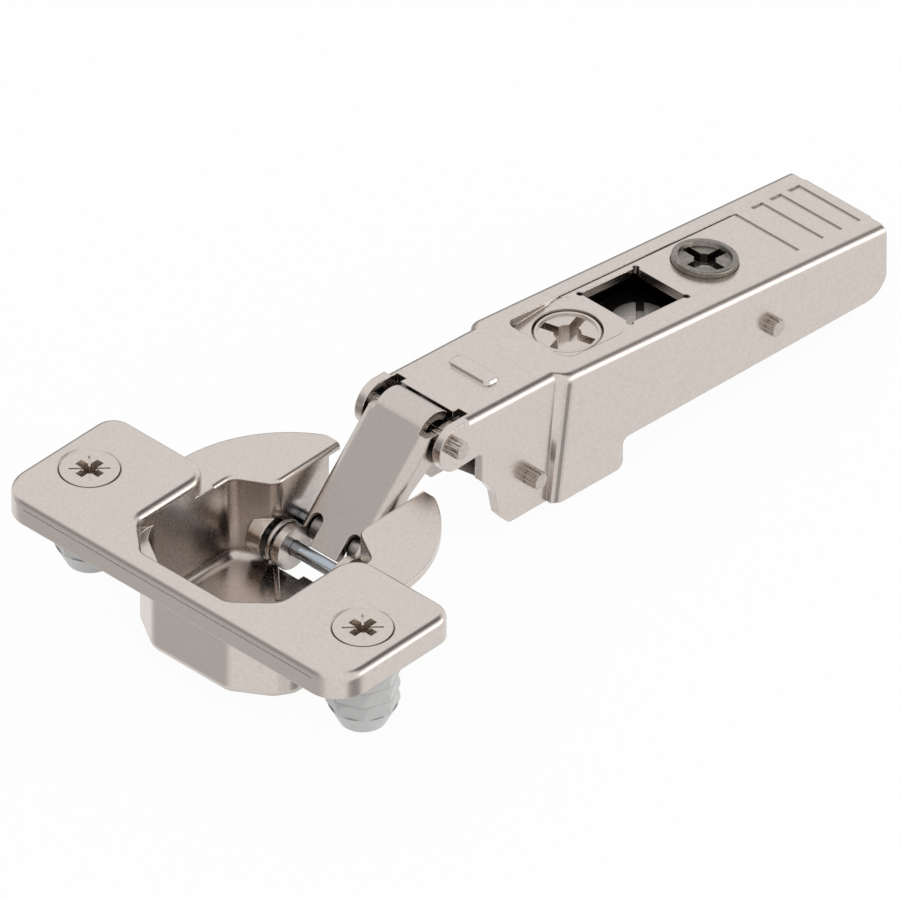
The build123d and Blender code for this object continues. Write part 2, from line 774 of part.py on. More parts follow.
# Arm: one pressed channel
lug_x = arm_pivot_outer[0] + lug_offset
lug_z = arm_pivot_outer[1] - lug_drop
lug_under = lug_z - lug_radius
panel_plane = Plane.XY.offset(panel_top)
panel_x = rear_start + (rear_top_start - panel_top) / tan(radians(arm_rear_slope))
with BuildPart() as hinge_arm:
    loft([channel_profile(plane, half, 0, arm_bend_radius) for plane, half in arm_sections], ruled=True)
    loft(
        [channel_profile(plane, half - arm_sheet, arm_sheet, 0) for plane, half in arm_sections],
        ruled=True,
        mode=Mode.SUBTRACT,
    )
    with BuildSketch(Plane.XZ) as arm_side:
        with BuildLine():
            Polyline(
                (arm_top_front, arm_depth),
                (arm_end, arm_depth),
                (arm_end, rear_bottom_end),
                (step_x, rear_bottom_front),
                (step_x, rear_lobe_bottom),
                (jog_start, front_lobe_bottom - 2 * jog_drop),
                (jog_start - jog_length, front_lobe_bottom - jog_drop),
                (lobe_foot, front_lobe_bottom),
                lobe_heel,
                lobe_middle,
                lobe_brow,
                (lobe_front, lobe_brow[1] + lobe_brow[0] - lobe_front),
                (lobe_front, lug_under),
                (arm_top_front, lug_under),
                close=True,
            )
        make_face()
        fillet(arm_side.vertices().sort_by_distance((arm_end, rear_bottom_end, 0))[0], rear_corner_round)
        fillet(arm_side.vertices().sort_by_distance((step_x, rear_bottom_front, 0))[0], step_round)
        fillet(arm_side.vertices().sort_by_distance((step_x, rear_lobe_bottom, 0))[0], step_round)
        fillet(arm_side.vertices().sort_by_distance((lobe_foot, front_lobe_bottom, 0))[0], step_round)
        fillet(arm_side.vertices().sort_by_distance((lobe_front, lug_under, 0))[0], step_round / 2)
    extrude(amount=2 * arm_rear_half, both=True, mode=Mode.INTERSECT)
    # flat lugs in front, where the sheet isn't bent over
    for side in (1, -1):
        with BuildSketch(Plane.XZ.offset(side * (arm_front_half - arm_sheet))):
            with BuildLine():
                Line((lug_x, lug_under), (arm_top_front, lug_under))
                Line((arm_top_front, lug_under), (arm_top_front, front_top(arm_top_front)))
                Line((arm_top_front, front_top(arm_top_front)), (lug_x, lug_z + lug_radius))
                CenterArc((lug_x, lug_z), lug_radius, 90, 180)
            make_face()
        extrude(amount=side * arm_sheet)
    # relief notches in the front corners of the top
    with BuildSketch(Plane.XY):
        for side in (1, -1):
            with Locations((arm_top_front, side * (arm_front_half - arm_sheet - relief_width / 2))):
                Rectangle(2 * relief_depth, relief_width)
    extrude(amount=arm_depth, mode=Mode.SUBTRACT)
    # the end of the top stands a little proud of the walls
    for side in (1, -1):
        with Locations((arm_end, side * (arm_rear_half + end_tongue_half) / 2, 0)):
            Box(2 * end_step, arm_rear_half - end_tongue_half, 2 * arm_depth, mode=Mode.SUBTRACT)
    # raised bead across the top
    with BuildSketch(front_top_plane):
        with Locations((front_along(bead_x), 0)):
            RectangleRounded(bead_length, 2 * bead_half, bead_length / 3)
    extrude(amount=bead_height, taper=bead_draft)
    # window
    with BuildSketch(rear_top_plane):
        with Locations((rear_along((window_start + window_end) / 2), 0)):
            Rectangle(rear_along(window_end) - rear_along(window_start), 2 * window_half)
        for x in (window_start, window_end):
            with Locations((rear_along(x), window_half), (rear_along(x), -window_half)):
                Circle(window_corner)
    extrude(amount=-2 * arm_sheet, mode=Mode.SUBTRACT)
    # level panel, pressed down round the side screw
    with BuildSketch(panel_plane) as panel_plan:
        with Locations(((panel_front + panel_x) / 2, 0)):
            RectangleRounded(panel_x - panel_front, 2 * panel_half, panel_corner)
    extrude(amount=-arm_sheet)
    extrude(panel_plan.sketch, amount=arm_depth, mode=Mode.SUBTRACT)
    # neck that holds the side screw
    with BuildSketch(side_screw_plane.offset(-side_screw_sink - side_screw_height)):
        Circle(side_screw_radius + arm_sheet)
    extrude(amount=side_screw_sink + side_screw_height - arm_sheet)
    with BuildSketch(side_screw_plane.offset(arm_sheet)):
        Circle(side_screw_radius + running_gap)
    extrude(amount=-side_screw_height - 3 * arm_sheet, mode=Mode.SUBTRACT)
    with BuildSketch(cam_plane.offset(arm_sheet)):
        Circle(cam_radius + running_gap)
    extrude(amount=-3 * arm_sheet, mode=Mode.SUBTRACT)
    # grooves pressed in the top
    with BuildSketch(rear_top_plane):
        for i in range(rear_groove_count):
            groove_at = rear_along(rear_groove_start + i * rear_groove_pitch)
            with Locations((groove_at, 0)):
                Rectangle(groove_width, 2 * rear_groove_half)
            with Locations((groove_at - rear_groove_hook / 2, rear_groove_half - groove_width / 2)):
                Rectangle(rear_groove_hook, groove_width)
        with Locations((rear_along(panel_end), 0)):
            Rectangle(groove_width, 2 * panel_half)
        with Locations((rear_along((panel_start + panel_end) / 2), panel_half)):
            Rectangle(rear_along(panel_end) - rear_along(panel_start), groove_width / 2)
    extrude(amount=-groove_depth, mode=Mode.SUBTRACT)
    for pivot in (arm_pivot_outer, arm_pivot_inner, rear_pivot):
        with Locations(Location((pivot[0], 0, pivot[1]), (90, 0, 0))):
            Cylinder(rivet_radius + press_gap, 3 * arm_rear_half, mode=Mode.SUBTRACT)
hinge_arm.part.label = "hinge_arm"
export_step(hinge_arm.part, "parts/hinge_arm.step")

# Side screw: turns in its neck in the arm, its foot holds the front of the rail
side_head_foot = side_screw_sink + side_screw_height
rail_depth = panel_top - rail_top(side_screw_x)
with BuildPart() as side_screw:
    with BuildSketch(side_screw_plane.offset(-side_head_foot)):
        Circle(side_screw_radius)
    extrude(amount=side_screw_height)
    chamfer(side_screw.faces().sort_by(Axis.Z)[-1].edges(), side_screw_chamfer)
    with BuildSketch(side_screw_plane.offset(-side_head_foot)):
        Circle(side_neck_radius)
    extrude(amount=-(rail_depth + rail_sheet + side_screw_tilt_gap - side_head_foot))
    with BuildSketch(side_screw_plane.offset(-rail_depth - rail_sheet - side_screw_tilt_gap)):
        Circle(side_foot_radius)
    extrude(amount=-side_foot_height)
    with BuildSketch(side_screw_plane.offset(-side_screw_sink)):
        Circle(side_screw_radius - side_screw_rim)
    extrude(amount=-side_screw_dish, mode=Mode.SUBTRACT)
    with BuildSketch(side_screw_plane.offset(-side_screw_sink)):
        Rectangle(2 * side_recess_half, side_recess_width, rotation=side_screw_turn)
        Rectangle(side_recess_width, 2 * side_recess_half, rotation=side_screw_turn)
        Circle(side_hub_radius)
    extrude(amount=-side_recess_depth, taper=recess_draft, mode=Mode.SUBTRACT)
side_screw.part.label = "side_screw"
export_step(side_screw.part, "parts/side_screw.step")

# Depth cam: a dished head above the arm, a flange below it, and a pin that moves the rail
cam_flange_top = arm_sheet + running_gap
cam_pin_depth = (rear_top(cam_x) - rail_top(cam_x)) * cos(radians(arm_rear_slope)) + rail_sheet + cam_pin_end
with BuildPart() as depth_cam:
    with BuildSketch(cam_plane.offset(-cam_flange_top)):
        Circle(cam_radius)
    extrude(amount=cam_flange_top + cam_rise)
    fillet(depth_cam.faces().sort_by(Axis.Z)[-1].edges(), cam_round)
    with BuildSketch(cam_plane.offset(-cam_flange_top)):
        Circle(cam_flange_radius)
    extrude(amount=-cam_flange_height)
    with BuildSketch(cam_plane.offset(-cam_flange_top)):
        with Locations((0, cam_pin_throw)):
            Circle(cam_pin_radius)
    extrude(amount=-(cam_pin_depth - cam_flange_top))
    with BuildSketch(cam_plane.offset(cam_rise)):
        Circle(cam_radius - cam_rim)
    extrude(amount=-cam_dish, taper=cam_dish_draft, mode=Mode.SUBTRACT)
    with BuildSketch(cam_plane.offset(cam_rise - cam_dish)):
        Rectangle(2 * cam_recess_half, cam_recess_width)
        Rectangle(cam_recess_width, 2 * cam_recess_half)
        Circle(cam_hub_radius)
    extrude(amount=-cam_recess_depth, taper=recess_draft, mode=Mode.SUBTRACT)
depth_cam.part.label = "depth_cam"
export_step(depth_cam.part, "parts/depth_cam.step")

# Rail: a channel inside the arm, with slots for the rivet, the screw's neck and the cam's pin
rail_half = arm_rear_half - arm_sheet - side_gap
rail_plane = sloped_plane(rail_start, rail_top_front, rail_slope)
with BuildPart() as inner_rail:
    with BuildSketch(Plane.XZ):
        with BuildLine():
            Polyline(
                (rail_start, rail_top(rail_start)),
                (rail_end, rail_top(rail_end)),
                (rail_end, rear_bottom(rail_end) + rail_bottom_gap),
                (rail_start, rear_bottom(rail_start) + rail_bottom_gap),
                close=True,
            )
        make_face()
        with Locations((rail_hook_x, rear_bottom(rail_hook_x) + rail_bottom_gap)):
            Circle(rail_hook_radius, mode=Mode.SUBTRACT)
    extrude(amount=rail_half, both=True)
    rail_bends = inner_rail.edges().filter_by(
        lambda edge: abs(abs(edge.center().Y) - rail_half) < press_gap
        and abs(edge.center().Z - rail_top(edge.center().X)) < press_gap
    )
    fillet(rail_bends, rail_bend_radius)
    with BuildSketch(rail_plane.offset(-rail_sheet)):
        Rectangle(3 * rail_end, 2 * (rail_half - rail_sheet))
    extrude(amount=-arm_depth, mode=Mode.SUBTRACT)
    with BuildSketch(side_plane(0)):
        with Locations((-rear_pivot[0], rear_pivot[1])):
            SlotCenterToCenter(2 * rail_travel, 2 * (rivet_radius + running_gap), rotation=rail_slope)
    extrude(amount=2 * rail_half, both=True, mode=Mode.SUBTRACT)
    with BuildSketch(side_screw_plane.offset(-rail_depth + rail_sheet)):
        SlotCenterToCenter(2 * rail_travel, 2 * (side_neck_radius + running_gap))
        with Locations((-side_foot_radius, 0)):
            Rectangle(2 * side_foot_radius, 2 * (side_neck_radius + running_gap))
    extrude(amount=-3 * rail_sheet, mode=Mode.SUBTRACT)
    with BuildSketch(cam_plane.offset(-cam_flange_top - cam_flange_height)):
        with Locations((0, cam_pin_throw - cam_pin_radius / 4)):
            SlotOverall(
                2.5 * (cam_pin_radius + cam_slot_gap) + cam_pin_radius / 2,
                2 * (cam_pin_radius + cam_slot_gap),
                rotation=90,
            )
    extrude(amount=-cam_pin_depth, mode=Mode.SUBTRACT)
    with BuildSketch(sloped_plane(stud_x, rail_top(stud_x), rail_slope)):
        Circle(stud_shank_radius + press_gap)
    extrude(amount=-2 * rail_sheet, mode=Mode.SUBTRACT)
    with Locations(Location((lever_pivot[0], 0, lever_pivot[1]), (90, 0, 0))):
        Cylinder(lever_pin_radius + press_gap, 3 * rail_half, mode=Mode.SUBTRACT)
inner_rail.part.label = "inner_rail"
export_step(inner_rail.part, "parts/inner_rail.step")

# Stud riveted in the rail, seen through the window in the arm
stud_plane = sloped_plane(stud_x, rail_top(stud_x), rail_slope)
with BuildPart() as rail_stud:
    with BuildSketch(stud_plane):
        Circle(stud_radius)
    extrude(amount=stud_height)
    chamfer(rail_stud.faces().sort_by(Axis.Z)[-1].edges(), stud_height / 4)
    with BuildSketch(stud_plane):
        Circle(stud_shank_radius)
    extrude(amount=-rail_sheet - stud_foot_height)
    with BuildSketch(stud_plane.offset(-rail_sheet)):
        Circle(stud_shank_radius + rail_sheet / 2)
    extrude(amount=-stud_foot_height)
    with BuildSketch(stud_plane.offset(stud_height)):
        with Locations(along(stud_slot_angle, stud_radius / 2)):
            Rectangle(stud_radius + stud_slot_width, stud_slot_width, rotation=stud_slot_angle)
    extrude(amount=-stud_height, mode=Mode.SUBTRACT)
rail_stud.part.label = "rail_stud"
export_step(rail_stud.part, "parts/rail_stud.step")

# Pin and lever of the clip that holds the rail on the mounting plate
with BuildPart() as lever_pin:
    with Locations(Location((lever_pivot[0], 0, lever_pivot[1]), (90, 0, 0))):
        Cylinder(lever_pin_radius, 2 * rail_half)
lever_pin.part.label = "lever_pin"
export_step(lever_pin.part, "parts/lever_pin.step")

lever_half = rail_half - rail_sheet - lever_gap
with BuildPart() as clip_lever:
    with BuildSketch(Plane.XZ):
        with BuildLine():
            Polyline(lever_nose, lever_knee, lever_pivot, lever_tab)
            offset(amount=lever_plate / 2)
        make_face()
        with Locations(lever_pivot):
            Circle(lever_eye_radius)
    extrude(amount=lever_half, both=True)
    with Locations(Location((lever_pivot[0], 0, lever_pivot[1]), (90, 0, 0))):
        Cylinder(lever_pin_radius + running_gap, 3 * lever_half, mode=Mode.SUBTRACT)
clip_lever.part.label = "clip_lever"
export_step(clip_lever.part, "parts/clip_lever.step")

# Coil spring between the rail and the lever
spring_top = rail_top(spring_x) - (rail_sheet + spring_wire / 2 + running_gap) / cos(radians(rail_slope))
spring_plane = sloped_plane(spring_x, spring_top, rail_slope)
with BuildPart() as latch_spring:
    with BuildLine(spring_plane.offset(-spring_height)) as coil_path:
        Helix(pitch=spring_height / spring_turns, height=spring_height, radius=spring_radius)
    with BuildSketch(Plane(origin=coil_path.line @ 0, z_dir=coil_path.line % 0)):
        Circle(spring_wire / 2)
    sweep(path=coil_path.line, is_frenet=True)
latch_spring.part.label = "latch_spring"
export_step(latch_spring.part, "parts/latch_spring.step")
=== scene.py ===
import math

import bpy
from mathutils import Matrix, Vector


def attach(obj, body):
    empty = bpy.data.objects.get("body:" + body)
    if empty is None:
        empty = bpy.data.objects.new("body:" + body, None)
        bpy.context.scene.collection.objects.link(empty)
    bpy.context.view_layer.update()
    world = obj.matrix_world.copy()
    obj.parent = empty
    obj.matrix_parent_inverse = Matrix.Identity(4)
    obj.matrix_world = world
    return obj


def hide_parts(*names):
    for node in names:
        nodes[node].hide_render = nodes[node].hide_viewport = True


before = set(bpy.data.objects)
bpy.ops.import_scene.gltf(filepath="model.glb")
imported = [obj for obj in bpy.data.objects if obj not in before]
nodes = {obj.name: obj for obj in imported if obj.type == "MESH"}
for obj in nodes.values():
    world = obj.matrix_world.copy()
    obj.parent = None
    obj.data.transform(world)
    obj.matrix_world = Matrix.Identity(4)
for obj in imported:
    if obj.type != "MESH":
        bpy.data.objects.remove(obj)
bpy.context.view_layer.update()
scene = bpy.context.scene
scene.view_settings.view_transform = "Standard"
print("frame loaded:", len(nodes), "nodes")

mm = 0.001
white = (1.0, 1.0, 1.0, 1.0)


def hexToLinear(code):
    # sRGB hex to the linear colour that shader sockets take
    channels = [int(code[i:i + 2], 16) / 255 for i in (0, 2, 4)]
    return [c / 12.92 if c <= 0.04045 else ((c + 0.055) / 1.055) ** 2.4 for c in channels] + [1.0]


def addNode(tree, kind, settings=None, values=None):
    # one node, with its settings and what each input takes: a plain value, or another node's output
    node = tree.nodes.new(kind)
    for key, value in (settings or {}).items():
        setattr(node, key, value)
    for key, value in (values or {}).items():
        if isinstance(value, bpy.types.NodeSocket):
            tree.links.new(value, node.inputs[key])
        else:
            node.inputs[key].default_value = value
    return node


def emptyMaterial(name):
    material = bpy.data.materials.new(name)
    material.use_nodes = True
    material.node_tree.nodes.clear()
    return material


def paintRecessShade(tree, colour, look):
    # painted shade: the colour is darkened where little of the room is open to the surface
    openness = addNode(tree, "ShaderNodeAmbientOcclusion", {"samples": 8}, {
        "Distance": look["recessReach"]}).outputs["AO"]
    shade = addNode(tree, "ShaderNodeMapRange", None, {
        "Value": openness, "From Min": look["recessShut"], "From Max": look["recessOpen"],
        "To Min": look["recess"], "To Max": 1.0}).outputs["Result"]
    return addNode(tree, "ShaderNodeVectorMath", {"operation": "SCALE"}, {
        0: colour, "Scale": shade}).outputs[0]


# What all the metals share. The mottle adds fine grain to soft clouds, and its low to high is what shows.
# A fold counts from where the rounded normal leaves the flat one, and there the metal is rubbed smoother.
# A recess is painted darkest where the surface is shut in, as painted shade, and has its full colour where it
# is open
plating = {
    "grainShare": 0.45, "cloudShare": 0.55, "mottleLow": 0.36, "mottleHigh": 0.64,
    "foldStart": 0.995, "foldFull": 0.90, "foldRub": 0.6, "bumpHeight": 0.02 * mm,
    "recessReach": 12.0 * mm, "recessShut": 0.12, "recessOpen": 0.50,
}

# Metals of the hinge. grain is the size of the finest spots of the plating, cloud that of its soft patches,
# edge the polished width along a fold, and recess how dark the painted shade is in hollows
metals = {
    "nickelPlatedSheet": {  # bright nickel on cold rolled sheet: warm, satin flats, brighter on every edge
        "colour": "d7cec7", "shade": "cec4bd", "roughness": 0.24, "spread": 0.04, "recess": 0.27,
        "grain": 0.12 * mm, "cloud": 0.5 * mm, "bump": 0.10, "edge": 0.22 * mm,
    },
    "nickelPlatedLink": {  # the same plating on thicker stamped sheet
        "colour": "cfc7c0", "shade": "c6bdb6", "roughness": 0.25, "spread": 0.04, "recess": 0.40,
        "grain": 0.12 * mm, "cloud": 0.5 * mm, "bump": 0.10, "edge": 0.16 * mm,
    },
    "insideSteelPaintedShade": {  # inside pieces, duller, and a little darker as painted shade for where they sit inside the arm
        "colour": "a9a5a0", "shade": "9a958f", "roughness": 0.34, "spread": 0.06, "recess": 0.35,
        "grain": 0.2 * mm, "cloud": 1.4 * mm, "bump": 0.10, "edge": 0.12 * mm,
    },
    "turnedScrewSteel": {  # nickel-plated screws, pressed and turned: bright, with fine spots
        "colour": "d6cdc6", "shade": "cdc4bc", "roughness": 0.24, "spread": 0.04, "recess": 0.85,
        "grain": 0.12 * mm, "cloud": 0.5 * mm, "bump": 0.07, "edge": 0.07 * mm,
    },
    "tumbledStudPaintedLight": {  # the stud inside, tumbled dull so it catches what comes through the window, its colour painted lighter as painted light from the window
        "colour": "e6e2dc", "shade": "d6d0c9", "roughness": 0.50, "spread": 0.06, "recess": 1.0,
        "grain": 0.14 * mm, "cloud": 0.6 * mm, "bump": 0.06, "edge": 0.10 * mm,
    },
    "rivetSteel": {  # upset ends, polished by the tool
        "colour": "cac2bb", "shade": "b4aba3", "roughness": 0.15, "spread": 0.03, "recess": 0.45,
        "grain": 0.12 * mm, "cloud": 0.5 * mm, "bump": 0.05, "edge": 0.05 * mm,
    },
    "groundPinSteel": {  # ground and polished round bar, cold in tone
        "colour": "b4bbc3", "shade": "a6aeb8", "roughness": 0.10, "spread": 0.03, "recess": 0.6,
        "grain": 0.12 * mm, "cloud": 0.6 * mm, "bump": 0.02, "edge": 0.05 * mm,
    },
    "drawnSpringWire": {  # spring steel wire, drawn bright
        "colour": "c6c0b9", "shade": "b3ada6", "roughness": 0.24, "spread": 0.05, "recess": 0.8,
        "grain": 0.10 * mm, "cloud": 0.5 * mm, "bump": 0.04, "edge": 0.03 * mm,
    },
    "dieCastZinc": {  # zinc alloy as cast and tumbled: dull, grey, with soft edges
        "colour": "96918a", "shade": "7d7870", "roughness": 0.30, "spread": 0.08, "recess": 0.22,
        "grain": 0.2 * mm, "cloud": 0.7 * mm, "bump": 0.16, "edge": 0.14 * mm,
    },
}


def makeMetal(name, look):
    material = emptyMaterial(name)
    tree = material.node_tree
    place = addNode(tree, "ShaderNodeTexCoord").outputs["Object"]
    cloud = addNode(tree, "ShaderNodeTexNoise", None, {
        "Vector": place, "Scale": 1 / look["cloud"], "Detail": 3.0, "Roughness": 0.55}).outputs["Fac"]
    grain = addNode(tree, "ShaderNodeTexNoise", None, {
        "Vector": place, "Scale": 1 / look["grain"], "Detail": 2.0, "Roughness": 0.6}).outputs["Fac"]
    clouds = addNode(tree, "ShaderNodeMath", {"operation": "MULTIPLY"}, {
        0: cloud, 1: look["cloudShare"]}).outputs[0]
    mottle = addNode(tree, "ShaderNodeMath", {"operation": "MULTIPLY_ADD"}, {
        0: grain, 1: look["grainShare"], 2: clouds}).outputs[0]
    patches = addNode(tree, "ShaderNodeMapRange", None, {
        "Value": mottle, "From Min": look["mottleLow"], "From Max": look["mottleHigh"]}).outputs["Result"]
    base = addNode(tree, "ShaderNodeMix", {"data_type": "RGBA"}, {
        "Factor": patches, 6: hexToLinear(look["shade"]), 7: hexToLinear(look["colour"])}).outputs[2]
    # painted shade: the colour is darkened in recesses
    shaded = paintRecessShade(tree, base, look)
    # pressed and tumbled edges are polished brighter than the flats
    rounded = addNode(tree, "ShaderNodeBevel", {"samples": 8}, {"Radius": look["edge"]}).outputs["Normal"]
    flat = addNode(tree, "ShaderNodeNewGeometry").outputs["Normal"]
    turned = addNode(tree, "ShaderNodeVectorMath", {"operation": "DOT_PRODUCT"}, {
        0: rounded, 1: flat}).outputs["Value"]
    edge = addNode(tree, "ShaderNodeMapRange", None, {
        "Value": turned, "From Min": look["foldStart"], "From Max": look["foldFull"]}).outputs["Result"]
    satin = addNode(tree, "ShaderNodeMapRange", None, {
        "Value": patches, "To Min": look["roughness"] + look["spread"],
        "To Max": look["roughness"] - look["spread"]}).outputs["Result"]
    worn = addNode(tree, "ShaderNodeMix", {"data_type": "FLOAT"}, {
        "Factor": edge, 2: satin, 3: look["roughness"] * look["foldRub"]}).outputs[0]
    bump = addNode(tree, "ShaderNodeBump", None, {
        "Strength": look["bump"], "Distance": look["bumpHeight"], "Height": grain,
        "Normal": rounded}).outputs["Normal"]
    shader = addNode(tree, "ShaderNodeBsdfPrincipled", None, {
        "Base Color": shaded, "Metallic": 1.0, "Roughness": worn, "Normal": bump})
    addNode(tree, "ShaderNodeOutputMaterial", None, {"Surface": shader.outputs["BSDF"]})
    return material


nylonLook = {  # milk is how much light spreads below the skin, and milkDepth how far
    "colour": "cbcbca", "shade": "bfbfbe", "roughness": 0.30, "ior": 1.53, "milk": 0.1, "milkDepth": 0.3 * mm,
    "cloud": 0.9 * mm, "bump": 0.05, "bumpHeight": 0.02 * mm,
    # recess is how dark the painted shade is in hollows, within recessReach
    "recess": 0.45, "recessReach": 2.5 * mm, "recessShut": 0.35, "recessOpen": 0.95,
}


def makeNylon(look):
    # undyed nylon, injection moulded: pale grey, slightly milky, soft gloss
    material = emptyMaterial("mouldedNylon")
    tree = material.node_tree
    place = addNode(tree, "ShaderNodeTexCoord").outputs["Object"]
    cloud = addNode(tree, "ShaderNodeTexNoise", None, {
        "Vector": place, "Scale": 1 / look["cloud"], "Detail": 3.0}).outputs["Fac"]
    base = addNode(tree, "ShaderNodeMix", {"data_type": "RGBA"}, {
        "Factor": cloud, 6: hexToLinear(look["shade"]), 7: hexToLinear(look["colour"])}).outputs[2]
    # painted shade: the colour is darkened in recesses
    shaded = paintRecessShade(tree, base, look)
    bump = addNode(tree, "ShaderNodeBump", None, {
        "Strength": look["bump"], "Distance": look["bumpHeight"], "Height": cloud}).outputs["Normal"]
    shader = addNode(tree, "ShaderNodeBsdfPrincipled", None, {
        "Base Color": shaded, "Roughness": look["roughness"], "IOR": look["ior"],
        "Subsurface Weight": look["milk"], "Subsurface Scale": look["milkDepth"], "Normal": bump})
    addNode(tree, "ShaderNodeOutputMaterial", None, {"Surface": shader.outputs["BSDF"]})
    return material


finishes = {name: makeMetal(name, {**plating, **look}) for name, look in metals.items()}
finishes["mouldedNylon"] = makeNylon(nylonLook)

nodeFinish = {
    "nickelPlatedSheet": ["cup", "hinge_arm"],
    "nickelPlatedLink": ["outer_link"],
    # inner_link is the link's own steel, given the darker inside colour as painted shade
    "insideSteelPaintedShade": ["inner_rail", "inner_link", "clip_lever"],
    "turnedScrewSteel": ["fixing_screw_left", "fixing_screw_right", "side_screw"],
    "tumbledStudPaintedLight": ["rail_stud"],
    "rivetSteel": ["front_rivet", "lower_rivet", "rear_rivet"],
    "groundPinSteel": ["cup_pin_front", "cup_pin_rear", "lever_pin"],
    "drawnSpringWire": ["closing_spring", "latch_spring"],
    "dieCastZinc": ["depth_cam"],
    "mouldedNylon": ["dowel_left", "dowel_right"],
}
for finish, names in nodeFinish.items():
    for name in names:
        slots = nodes[name].data.materials
        slots.clear()
        slots.append(finishes[finish])
print("materials:", len(finishes))


# Closing spring: a loop of wire round the front pin and a leg on the floor of the cup
closingSpring = {
    "pin": (6.5 * mm, -7.6 * mm), "loopY": 5.95 * mm, "loopRadius": 2.65 * mm, "wire": 0.7 * mm,
    "startTurn": -92.0, "sweep": -285.0, "loopSteps": 48, "sides": 20,
    "bendRadius": 0.9 * mm, "bendSteps": 6,
    "legBend": (4.9 * mm, 5.65 * mm), "legEnd": (0.8 * mm, 1.3 * mm), "floorZ": -10.4 * mm,
}


def wirePath(look):
    # middle line of the wire, from the leg's free end round the pin
    pinX, pinZ = look["pin"]
    path = [(*look["legEnd"], look["floorZ"]), (*look["legBend"], look["floorZ"])]
    for step in range(look["loopSteps"] + 1):
        turn = math.radians(look["startTurn"] + look["sweep"] * step / look["loopSteps"])
        path.append((pinX - look["loopRadius"] * math.cos(turn), look["loopY"],
                     pinZ + look["loopRadius"] * math.sin(turn)))
    return path


def wireTree():
    # drawn wire along a path: the bends are rounded, then a round section follows it
    tree = bpy.data.node_groups.new("drawnWire", "GeometryNodeTree")
    tree.interface.new_socket("Geometry", in_out="INPUT", socket_type="NodeSocketGeometry")
    for name, kind in (("Wire Radius", "NodeSocketFloat"), ("Sides", "NodeSocketInt"),
                       ("Bend Radius", "NodeSocketFloat"), ("Bend Steps", "NodeSocketInt"),
                       ("Material", "NodeSocketMaterial")):
        tree.interface.new_socket(name, in_out="INPUT", socket_type=kind)
    tree.interface.new_socket("Geometry", in_out="OUTPUT", socket_type="NodeSocketGeometry")
    given = addNode(tree, "NodeGroupInput").outputs
    path = addNode(tree, "GeometryNodeMeshToCurve", None, {"Mesh": given["Geometry"]}).outputs["Curve"]
    bent = addNode(tree, "GeometryNodeFilletCurve", {"mode": "POLY"}, {
        "Curve": path, "Radius": given["Bend Radius"], "Limit Radius": True,
        "Count": given["Bend Steps"]}).outputs["Curve"]
    section = addNode(tree, "GeometryNodeCurvePrimitiveCircle", None, {
        "Resolution": given["Sides"], "Radius": given["Wire Radius"]}).outputs["Curve"]
    wire = addNode(tree, "GeometryNodeCurveToMesh", None, {
        "Curve": bent, "Profile Curve": section, "Fill Caps": True}).outputs["Mesh"]
    smooth = addNode(tree, "GeometryNodeSetShadeSmooth", None, {"Geometry": wire}).outputs["Geometry"]
    real = addNode(tree, "GeometryNodeRealizeInstances", None, {"Geometry": smooth}).outputs["Geometry"]
    done = addNode(tree, "GeometryNodeSetMaterial", None, {
        "Geometry": real, "Material": given["Material"]}).outputs["Geometry"]
    addNode(tree, "NodeGroupOutput", None, {"Geometry": done})
    return tree


def growPiece(name, source, tree, values):
    # run a tree on a source mesh with its named inputs set, and keep the plain mesh it gives
    carrier = bpy.data.objects.new(name + "Carrier", source)
    scene.collection.objects.link(carrier)
    modifier = carrier.modifiers.new("grow", "NODES")
    modifier.node_group = tree
    for item in tree.interface.items_tree:
        if item.item_type == "SOCKET" and item.in_out == "INPUT" and item.name in values:
            modifier[item.identifier] = values[item.name]
    carrier.update_tag()
    bpy.context.view_layer.update()
    grown = carrier.evaluated_get(bpy.context.evaluated_depsgraph_get())
    mesh = bpy.data.meshes.new_from_object(grown)
    carrier.modifiers.remove(modifier)
    bpy.data.objects.remove(carrier)
    mesh.name = name
    piece = bpy.data.objects.new(name, mesh)
    scene.collection.objects.link(piece)
    return piece


path = wirePath(closingSpring)
pathMesh = bpy.data.meshes.new("closingSpringPath")
pathMesh.from_pydata(path, [(i, i + 1) for i in range(len(path) - 1)], [])
springWire = growPiece("closingSpringWire", pathMesh, wireTree(), {
    "Wire Radius": closingSpring["wire"] / 2, "Sides": closingSpring["sides"],
    "Bend Radius": closingSpring["bendRadius"], "Bend Steps": closingSpring["bendSteps"],
    "Material": finishes["drawnSpringWire"]})
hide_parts("closing_spring")
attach(springWire, "cup")
print("closing spring:", len(springWire.data.polygons), "faces")


# Floor: matte white, and the camera sees it nearly as white as the room
studio = {"floorZ": -14.0 * mm, "floorHalf": 4.0, "floorGrey": 0.9, "floorShare": 0.96, "skyLevel": 0.97}

floorMesh = bpy.data.meshes.new("floor")
half = studio["floorHalf"]
corners = [(x * half, y * half, studio["floorZ"]) for x, y in ((-1, -1), (1, -1), (1, 1), (-1, 1))]
floorMesh.from_pydata(corners, [], [(0, 1, 2, 3)])
floor = bpy.data.objects.new("floor", floorMesh)
floor.visible_glossy = False  # the metal shows the white room, not the floor's shadow
scene.collection.objects.link(floor)
floorPaint = emptyMaterial("matteWhiteFloor")
tree = floorPaint.node_tree
rays = addNode(tree, "ShaderNodeLightPath")
seen = addNode(tree, "ShaderNodeMath", {"operation": "MAXIMUM"}, {
    0: rays.outputs["Is Camera Ray"], 1: rays.outputs["Is Transmission Ray"]}).outputs[0]
share = addNode(tree, "ShaderNodeMath", {"operation": "MULTIPLY"}, {
    0: seen, 1: studio["floorShare"]}).outputs[0]
matte = addNode(tree, "ShaderNodeBsdfDiffuse", None, {
    "Color": (*[studio["floorGrey"]] * 3, 1.0)}).outputs["BSDF"]
